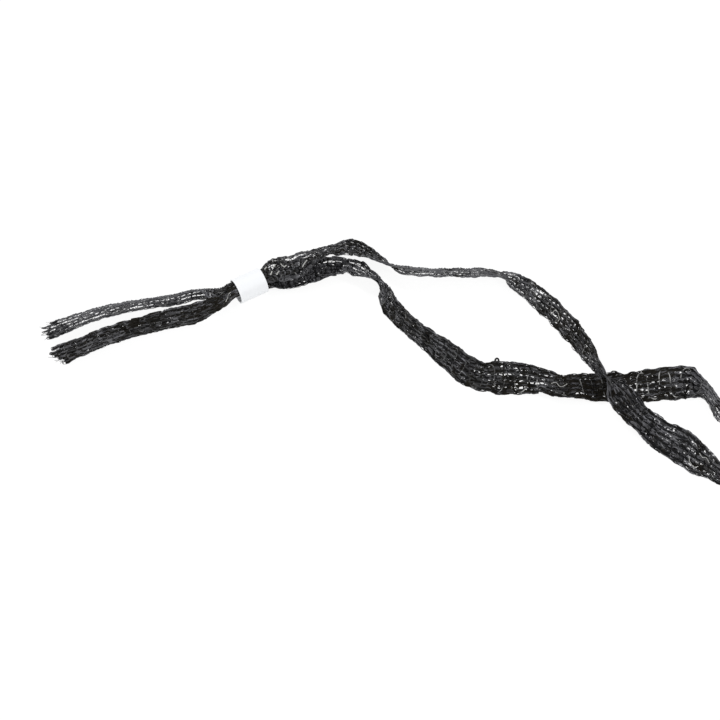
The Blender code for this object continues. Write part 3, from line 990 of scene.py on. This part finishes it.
# Half a width, then distances along and from the middle line of the tape.
THREADS = (
    (0.10, (607.6, -6.0), (609.0, -3.6), (609.6, -1.2), (610.8, 1.2)),
    (0.10, (213.0, -1.6), (214.2, 1.8), (217.4, 0.2), (217.0, -2.0)),
    (0.10, (452.5, -1.0), (455.0, 0.6), (457.0, -0.8), (458.6, 0.4)),
    (0.10, (292.5, 1.4), (294.0, 3.0), (296.0, 3.6), (297.4, 2.6)),
    (0.10, (296.0, -2.4), (298.0, -1.6), (299.6, -2.6), (301.4, -2.0)),
    (0.20, (87.8, -0.6), (88.2, -0.9), (88.6, -1.2), (89.0, -1.5)),
    (0.22, (91.2, 0.1), (91.5, -0.2), (91.8, -0.6), (92.0, -1.0)),
    (0.16, (94.0, -1.3), (94.6, -0.4), (95.4, 0.2), (96.2, -0.6)),
    (0.24, (88.6, 2.9), (89.0, 2.5), (89.4, 2.1), (89.7, 1.7)),
    (0.22, (92.0, 3.4), (92.5, 3.0), (93.0, 2.5), (93.4, 2.0)),
    (0.18, (102.0, 2.9), (103.0, 2.4), (104.2, 1.9), (105.4, 1.4)),
)


def thread_lines():
    """Pale threads eased through their chosen points, on the side of the tape that is seen:
    height = a little off the tape, plus a cosine that dips in and out of the knit.
    """
    rows = np.array([thread[1:] for thread in THREADS])
    at = np.linspace(0, rows.shape[1] - 1, THREAD_STEPS)
    lines = np.stack([eased(np.arange(rows.shape[1]), row, at) for row in rows])
    normal = on_ribbon(lines[..., 0], 0.0 * lines[..., 1], 0.0)[3]
    shown = np.sign((normal @ TO_CAMERA).mean(axis=1, keepdims=True))
    dip = THREAD_HEIGHT + THREAD_DIP * np.cos(THREAD_DIP_PITCH * np.arange(THREAD_STEPS))
    return lines[..., 0], lines[..., 1], shown * dip


thread_width = np.array([[thread[0]] for thread in THREADS])
pale_threads = films("pale_threads", thread_lines(), thread_width, thread_width / 2, tone=1.0)
extras = [hairs, pulled_loop, pale_threads]

# %% [markdown]
# ## The collar
#
# The collar is a slice of white plastic tube. A cylinder with Solidify and Bevel would do,
# but its UV map wouldn't be in millimetres. So the section of the wall, an oblong with
# rounded corners, is turned about the bore's axis, with a UV map that runs along the bore
# and round it, on which the material can draw the faint lines of the tube's making.

# %% The wall's section
COLLAR_RIM_ROUND = 0.15
RIM_STEPS = 6
FACE_STEPS = 6


def collar_profile():
    """The wall's section as a closed row of points: distance along the bore, and radius.

    Each corner is a quarter circle, and the long faces between two corners are divided.
    """
    reach = COLLAR_LENGTH / 2 - COLLAR_RIM_ROUND
    outer = COLLAR_OUTER / 2 - COLLAR_RIM_ROUND
    inner = COLLAR_OUTER / 2 - COLLAR_WALL + COLLAR_RIM_ROUND
    centres = ((reach, outer), (-reach, outer), (-reach, inner), (reach, inner))
    quarter = np.linspace(0, np.pi / 2, RIM_STEPS)
    rows = []
    for turn, centre in enumerate(centres):
        angle = quarter + turn * np.pi / 2
        rows.append(centre + COLLAR_RIM_ROUND * np.stack([np.cos(angle), np.sin(angle)], 1))
        if turn in (0, 2):
            x, radius = rows[-1][-1]
            face = np.linspace(x, -x, FACE_STEPS + 2)[1:-1]
            rows.append(np.stack([face, np.full(FACE_STEPS, radius)], 1))
    return np.concatenate(rows)


# %% Collar
COLLAR_SIDES = 160


def build_collar():
    """The profile turned about the bore's axis: point = middle + distance along the bore +
    radius (up cos angle + left sin angle).
    """
    along, left, middle = collar_frame()
    profile = collar_profile()
    angle = np.linspace(0, 2 * np.pi, COLLAR_SIDES, endpoint=False)
    out = np.cos(angle)[:, None] * np.array([0.0, 0.0, 1.0]) + np.sin(angle)[:, None] * left
    points = middle + profile[:, None, :1] * along + profile[:, None, 1:] * out
    index = np.arange(points.size // 3).reshape(len(profile), COLLAR_SIDES)
    right, up = np.roll(index, -1, axis=1), np.roll(index, -1, axis=0)
    quads = np.stack([index, right, np.roll(up, -1, axis=1), up], axis=-1).reshape(-1, 4)
    u = np.broadcast_to(profile[:, :1], index.shape)
    next_u = np.roll(u, -1, axis=0)
    v = np.broadcast_to(angle * COLLAR_OUTER / 2, index.shape)
    next_v = v + 2 * np.pi / COLLAR_SIDES * COLLAR_OUTER / 2
    corner_u = np.stack([u, u, next_u, next_u], axis=-1)
    corner_v = np.stack([v, next_v, next_v, v], axis=-1)
    uv = np.stack([corner_u, corner_v], axis=-1).reshape(-1, 2)
    return quad_piece("collar_tube", points.reshape(-1, 3), quads, uv, np.zeros(index.size))


collar_tube = build_collar()

# %% [markdown]
# ## The finish of the yarn
#
# Black polyethylene film mirrors the room, and those reflections read as charcoal. An even dark
# grey would look like rubber. So the film is nearly black, glossy, and lined along its length as
# drawn film is. The tone that a yarn carries paints it brown where a fold is in shade, which is
# painted shade, and grey where more light falls on it, which is painted light, beside a tone that
# differs at random. Film with the lowest tones, and the inlays behind the chains, are of a duller,
# darker material that mirrors hardly anything. That is painted shade, and it keeps the folds and
# the depths of the knit dark.


# %% Helpers for materials
def node(tree, kind, **settings):
    """A new shader node with its properties and input values set."""
    made = tree.nodes.new(kind)
    for key, value in settings.items():
        if key in made.inputs:
            made.inputs[key].default_value = value
        else:
            setattr(made, key, value)
    return made


def wire(tree, *pairs):
    """Join pairs of an output and an input."""
    for output, reader in pairs:
        tree.links.new(output, reader)


def lined_material(name, roughness, shine, scale, detail, strength, depth):
    """A finish with faint lines along u, as a die leaves them on film and tube.

    The lines are a bump, of a strength and a depth in metres, from noise that is scaled by
    different amounts along u and v.
    """
    made = bpy.data.materials.new(name)
    made.use_nodes = True
    tree = made.node_tree
    shader = tree.nodes["Principled BSDF"]
    shader.inputs["Roughness"].default_value = roughness
    shader.inputs["Specular IOR Level"].default_value = shine
    place = node(tree, "ShaderNodeTexCoord")
    stretch = node(tree, "ShaderNodeMapping", Scale=scale)
    lines = node(tree, "ShaderNodeTexNoise", Scale=1.0, Detail=detail)
    bump = node(tree, "ShaderNodeBump", Strength=strength, Distance=depth)
    wire(
        tree,
        (place.outputs["UV"], stretch.inputs["Vector"]),
        (stretch.outputs["Vector"], lines.inputs["Vector"]),
        (lines.outputs["Fac"], bump.inputs["Height"]),
        (bump.outputs["Normal"], shader.inputs["Normal"]),
    )
    return made


# %% Yarn materials
FILM_LINES = {"scale": (0.6, 14.0, 1.0), "detail": 1.0, "strength": 0.35, "depth": 0.00006}
# Tones at which film is painted brown, as painted shade in a fold, is plain, and is painted grey,
# as painted light where more light falls.
TONE_STOPS = (0.25, 0.45, 1.0)
FILM_COLOURS = ((0.012, 0.009, 0.006), (0.006, 0.006, 0.007), (0.13, 0.13, 0.142))
# Bars are painted from a brown painted shade through plain black to a pale grey, the painted
# highlight of their glints.
BAR_COLOURS = ((0.016, 0.012, 0.008), (0.006, 0.006, 0.007), (0.42, 0.42, 0.41))
# The dull yarn's colours are darker than the film's, as painted shade in the depths of the knit and
# in folds.
DULL_COLOURS = ((0.013, 0.011, 0.008), (0.004, 0.004, 0.0045), (0.035, 0.035, 0.038))
PALE_COLOUR = (0.50, 0.50, 0.48)


def toned_film(name, colours, roughness, shine):
    """Film whose colour runs through three colours with the tone of its yarn."""
    made = lined_material(name, roughness, shine, **FILM_LINES)
    tree = made.node_tree
    tone = node(tree, "ShaderNodeAttribute", attribute_name="tone")
    ramp = node(tree, "ShaderNodeValToRGB")
    ramp.color_ramp.elements.new(0.5)
    for element, position, colour in zip(ramp.color_ramp.elements, TONE_STOPS, colours):
        element.position = position
        element.color = (*colour, 1)
    wire(
        tree,
        (tone.outputs["Fac"], ramp.inputs["Fac"]),
        (ramp.outputs["Color"], tree.nodes["Principled BSDF"].inputs["Base Color"]),
    )
    return made


def plain_colour(made, colour):
    """Set one colour all over a material."""
    shader = made.node_tree.nodes["Principled BSDF"]
    shader.inputs["Base Color"].default_value = (*colour, 1)


black_film = toned_film("black_film", FILM_COLOURS, roughness=0.18, shine=0.42)
dull_yarn = toned_film("dull_yarn", DULL_COLOURS, roughness=0.45, shine=0.06)
bar_film = toned_film("bar_film", BAR_COLOURS, roughness=0.25, shine=0.50)
pale_thread = lined_material("pale_thread", roughness=0.5, shine=0.3, **FILM_LINES)
plain_colour(pale_thread, PALE_COLOUR)
for piece in [*wales, hairs, pulled_loop]:
    piece.data.materials.append(black_film)
for piece in [*wales, core_inlays, swing_inlays]:
    piece.data.materials.append(dull_yarn)
bar_inlay.data.materials.append(bar_film)
pale_threads.data.materials.append(pale_thread)
print("pieces with a finish:", len(knit) + len(extras))

# %% Dull film in the depths
# Film of a tone this low lies in painted shade, so it also takes the dull, dark material.
DULL_BELOW = 0.33


def dull_where_dark(piece, below):
    """The faces whose tone is below a value take the piece's second material."""
    mesh = piece.data
    tone = np.empty(len(mesh.vertices))
    corners = np.empty(len(mesh.loops), dtype=int)
    firsts = np.empty(len(mesh.polygons), dtype=int)
    mesh.attributes["tone"].data.foreach_get("value", tone)
    mesh.loops.foreach_get("vertex_index", corners)
    mesh.polygons.foreach_get("loop_start", firsts)
    dull = tone[corners[firsts]] < below
    mesh.polygons.foreach_set("material_index", dull.astype(int))
    print(f"{piece.name}: {dull.mean():.0%} of its film is dull")


for wale in wales:
    dull_where_dark(wale, DULL_BELOW)

# %% [markdown]
# ## The finish of the collar
#
# The tube is opaque white plastic with a soft sheen, and its lines are so faint that they
# only break up the highlight. Pure white would burn out, so the colour is a cool off-white.

# %% Collar material
PLASTIC_COLOUR = (0.90, 0.915, 0.935)
TUBE_LINES = {"scale": (0.08, 2.5, 1.0), "detail": 3.0, "strength": 0.12, "depth": 0.00005}

white_tube = lined_material("white_tube", roughness=0.38, shine=0.5, **TUBE_LINES)
plain_colour(white_tube, PLASTIC_COLOUR)
collar_tube.data.materials.append(white_tube)
print("collar colour:", PLASTIC_COLOUR)

# %% [markdown]
# ## The stage
#
# A dark thing on white could be lit until the paper is white, but that would bleach it. So
# the floor is plain pale paper to the light, and only rays that come from the camera or off
# a glossy face see it as white. It still keeps the object's soft shadow.

# %% Floor
FLOOR_HALF = 3.0
FLOOR_BELOW = 0.05

corners = np.array([(-1, -1, 0), (1, -1, 0), (1, 1, 0), (-1, 1, 0)]) * FLOOR_HALF
floor_mesh = bpy.data.meshes.new("floor")
floor_mesh.from_pydata(corners.tolist(), [], [(0, 1, 2, 3)])
floor = added("floor", floor_mesh)
floor.location.z = -FLOOR_BELOW * MM

paper = bpy.data.materials.new("paper")
paper.use_nodes = True
tree = paper.node_tree
tree.nodes.clear()
lit = node(tree, "ShaderNodeBsdfDiffuse", Color=(0.85, 0.85, 0.85, 1))
faint = node(tree, "ShaderNodeBsdfDiffuse", Color=(0.15, 0.15, 0.15, 1))
glow = node(tree, "ShaderNodeEmission", Color=(1, 1, 1, 1), Strength=0.90)
both = node(tree, "ShaderNodeAddShader")
rays = node(tree, "ShaderNodeLightPath")
seen = node(tree, "ShaderNodeMath", operation="MAXIMUM")
mix = node(tree, "ShaderNodeMixShader")
out = node(tree, "ShaderNodeOutputMaterial")
wire(
    tree,
    (rays.outputs["Is Camera Ray"], seen.inputs[0]),
    (rays.outputs["Is Glossy Ray"], seen.inputs[1]),
    (faint.outputs[0], both.inputs[0]),
    (glow.outputs[0], both.inputs[1]),
    (seen.outputs[0], mix.inputs[0]),
    (lit.outputs[0], mix.inputs[1]),
    (both.outputs[0], mix.inputs[2]),
    (mix.outputs[0], out.inputs[0]),
)
floor_mesh.materials.append(paper)
print("floor:", 2 * FLOOR_HALF, "m wide")

# %% [markdown]
# ## The world and the lamps
#
# Film mirrors whatever is round it, so the world is a soft studio that is brighter high
# behind the object and in front of it. A picture of a real room would do, but two patches of
# sky are easier to steer. Two small lamps add the bright glints on the yarn.

# %% World
# Each patch of sky: where it is, the dot products between which it fades in, and its level
# outside and inside.
SKY = (
    ((-0.45, 0.35, 0.82), 0.30, 0.95, 0.46, 0.92),
    ((0.0, -1.0, 0.0), -0.1, 0.7, 0.0, 1.0),
)
world = bpy.data.worlds.new("studio")
world.use_nodes = True
tree = world.node_tree
background = tree.nodes["Background"]
background.inputs["Strength"].default_value = 1.0
facing = node(tree, "ShaderNodeTexCoord")
shown = node(tree, "ShaderNodeMath", operation="MAXIMUM")
brighter = node(tree, "ShaderNodeMath", operation="MAXIMUM")
rays = node(tree, "ShaderNodeLightPath")
for slot, (toward, *levels) in enumerate(SKY):
    facing_it = node(tree, "ShaderNodeVectorMath", operation="DOT_PRODUCT")
    facing_it.inputs[1].default_value = toward
    patch = node(tree, "ShaderNodeMapRange", interpolation_type="SMOOTHSTEP")
    for key, value in zip(("From Min", "From Max", "To Min", "To Max"), levels):
        patch.inputs[key].default_value = value
    wire(
        tree,
        (facing.outputs["Generated"], facing_it.inputs[0]),
        (facing_it.outputs["Value"], patch.inputs["Value"]),
        (patch.outputs["Result"], brighter.inputs[slot]),
    )
wire(
    tree,
    (brighter.outputs[0], shown.inputs[0]),
    (rays.outputs["Is Camera Ray"], shown.inputs[1]),
    (shown.outputs[0], background.inputs["Color"]),
)
bpy.context.scene.world = world
print("patches of sky:", len(SKY))

# %% Lamps
# Where each lamp is, in metres, and its power in watts.
LAMPS = {"key": ((-0.70, 0.45, 0.95), 3.6), "side": ((0.75, -0.35, 0.95), 2.7)}
LAMP_SIZE = 0.12


def lamp(name, place, watts):
    """A square area lamp that shines at the middle of the object."""
    data = bpy.data.lights.new(name, "AREA")
    data.size = LAMP_SIZE
    data.energy = watts
    made = added(name, data)
    made.location = place
    x, y, height = place
    made.rotation_euler = (
        math.atan2(math.hypot(x, y), height),
        0.0,
        math.atan2(-y, -x) - math.pi / 2,
    )


for name, (place, watts) in LAMPS.items():
    lamp(name, place, watts)
print("lamps:", ", ".join(LAMPS))

# %% [markdown]
# ## The bodies
#
# Each piece rides on the body of the tape or of the collar, and the solids that it takes the place
# of are hidden.

for piece in [*knit, *extras]:
    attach(piece, "tape")
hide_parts(*tape_nodes)
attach(collar_tube, "collar")
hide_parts("collar")
view = bpy.context.scene.view_settings
view.view_transform = "Standard"
